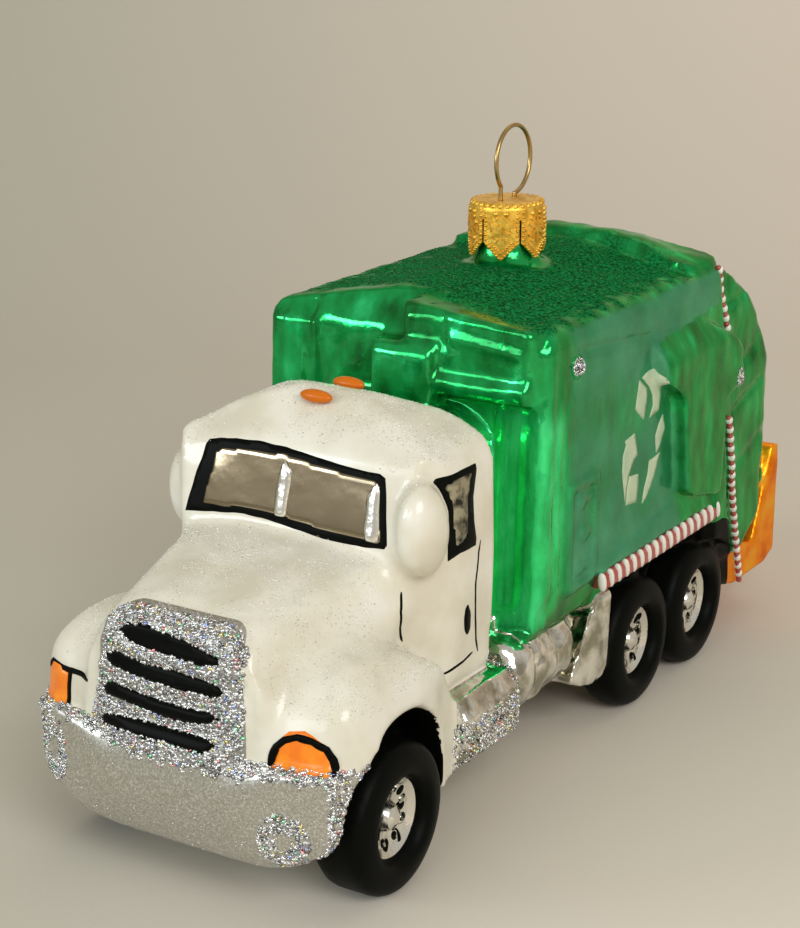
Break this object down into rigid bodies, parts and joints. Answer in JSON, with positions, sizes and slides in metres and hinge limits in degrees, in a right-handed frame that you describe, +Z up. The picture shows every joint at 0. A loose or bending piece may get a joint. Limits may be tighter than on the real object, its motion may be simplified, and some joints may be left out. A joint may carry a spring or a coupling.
{
  "type": "garbage truck ornament",
  "caption": "Blown-glass hanging ornament shaped as a rear-loading garbage truck, with a stamped crown cap and a wire hanger ring.",
  "frame": {"origin": "on the floor, under the middle of the whole object's box", "axes": "+Z up, -Y the way the truck faces, +X the truck's left side"},
  "size_m": [0.0478, 0.1324, 0.0815],
  "materials": {
    "black_paint": "satin black enamel on glass",
    "brass_wire": "drawn wire, dulled",
    "gold_sheet": "stamped gold-coloured sheet",
    "green_lacquer": "transparent green lacquer over silvered glass",
    "mirror_silver": "bare silvered glass",
    "orange_enamel": "translucent orange lacquer over silvered glass",
    "red_enamel": "red and white enamel stripes on glass",
    "satin_silver": "satin silver enamel on glass",
    "silver_glitter": "silvered glass crusted with coarse silver glitter",
    "white_enamel": "pearl white enamel on glass, sprinkled with fine glitter"
  },
  "bodies": {
    "glass": {"air_tank_left": "mirror_silver", "air_tank_right": "mirror_silver", "beacon_front": "orange_enamel", "beacon_rear": "orange_enamel", "belly": "mirror_silver", "bridge": "green_lacquer", "bulkhead": "green_lacquer", "bumper": "satin_silver", "cab": "white_enamel", "cord_lower_left": "red_enamel", "cord_lower_right": "red_enamel", "cord_upper_left": "red_enamel", "cord_upper_right": "red_enamel", "corner_post_left": "green_lacquer", "corner_post_right": "green_lacquer", "door_window_left": "mirror_silver", "door_window_right": "mirror_silver", "fender_left": "white_enamel", "fender_right": "white_enamel", "grille": "silver_glitter", "headlamp_left": "orange_enamel", "headlamp_right": "orange_enamel", "hood": "white_enamel", "hopper_body": "green_lacquer", "hub_drive_left": "mirror_silver", "hub_drive_right": "mirror_silver", "hub_front_left": "mirror_silver", "hub_front_right": "mirror_silver", "hub_rear_left": "mirror_silver", "hub_rear_right": "mirror_silver", "locker_left": "green_lacquer", "locker_right": "green_lacquer", "mirror_pod_left": "white_enamel", "mirror_pod_right": "white_enamel", "mudflap_left": "mirror_silver", "mudflap_right": "mirror_silver", "neck": "green_lacquer", "rivet_left": "silver_glitter", "rivet_right": "silver_glitter", "roof_roll": "green_lacquer", "rub_rail_left": "red_enamel", "rub_rail_right": "red_enamel", "shoulder_left": "green_lacquer", "shoulder_right": "green_lacquer", "skirt_left": "green_lacquer", "skirt_right": "green_lacquer", "step_tank_left": "silver_glitter", "step_tank_right": "silver_glitter", "tail_sill": "orange_enamel", "tailgate": "green_lacquer", "tyre_drive_left": "black_paint", "tyre_drive_right": "black_paint", "tyre_front_left": "black_paint", "tyre_front_right": "black_paint", "tyre_rear_left": "black_paint", "tyre_rear_right": "black_paint", "windscreen": "mirror_silver"},
    "cap": {"cap": "gold_sheet"},
    "hanger": {"hanger": "brass_wire"}
  },
  "joints": [
    {"name": "cap_lift", "type": "slide", "parent": "glass", "child": "cap", "axis": [0, 0, 1], "range_m": [0, 0.014]},
    {"name": "hanger_pull", "type": "slide", "parent": "cap", "child": "hanger", "axis": [0, 0, 1], "range_m": [0, 0.0035]}
  ]
}
